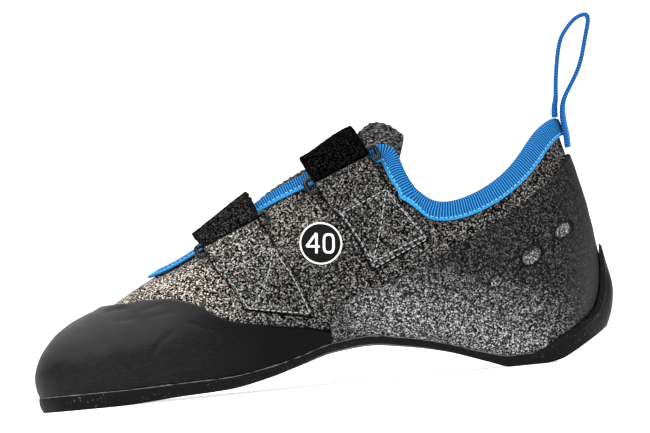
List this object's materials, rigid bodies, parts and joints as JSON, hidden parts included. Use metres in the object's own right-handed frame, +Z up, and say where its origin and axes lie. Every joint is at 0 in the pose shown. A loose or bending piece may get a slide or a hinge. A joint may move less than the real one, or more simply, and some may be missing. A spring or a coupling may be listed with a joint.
{
  "type": "climbing shoe",
  "caption": "Low-cut rubber-randed climbing shoe for the right foot with two ring-and-strap closures, a padded tongue and a heel pull loop.",
  "frame": {"origin": "middle of the flat spot under the heel, on the floor", "axes": "+Z up; -X towards the toe, +X towards the heel; -Y towards the medial (arch) side, +Y towards the lateral side"},
  "size_m": [0.2534, 0.0904, 0.1487],
  "materials": {
    "outsole_rubber": "matte black",
    "suede": "grey speckled microsuede",
    "insole_board": "flat textile",
    "tongue_textile": "knitted textile",
    "toe_rubber": "satin charcoal",
    "heel_rubber": "fine-grained dark grey",
    "blue_tape": "ribbed tape",
    "blue_webbing": "woven webbing",
    "hook_loop": "fuzzy loop pile",
    "wire": "dark plated",
    "tab_suede": "grey suede"
  },
  "bodies": {
    "root": {"outsole": "outsole_rubber", "upper": "suede", "insole": "insole_board", "tongue": "tongue_textile", "toe_rand": "toe_rubber", "heel_rand": "heel_rubber", "collar_binding": "blue_tape", "pull_loop": "blue_webbing", "strap_front": "hook_loop", "strap_rear": "hook_loop", "ring_front": "wire", "ring_rear": "wire", "strap_tab_front": "tab_suede", "strap_tab_rear": "tab_suede"}
  },
  "joints": []
}
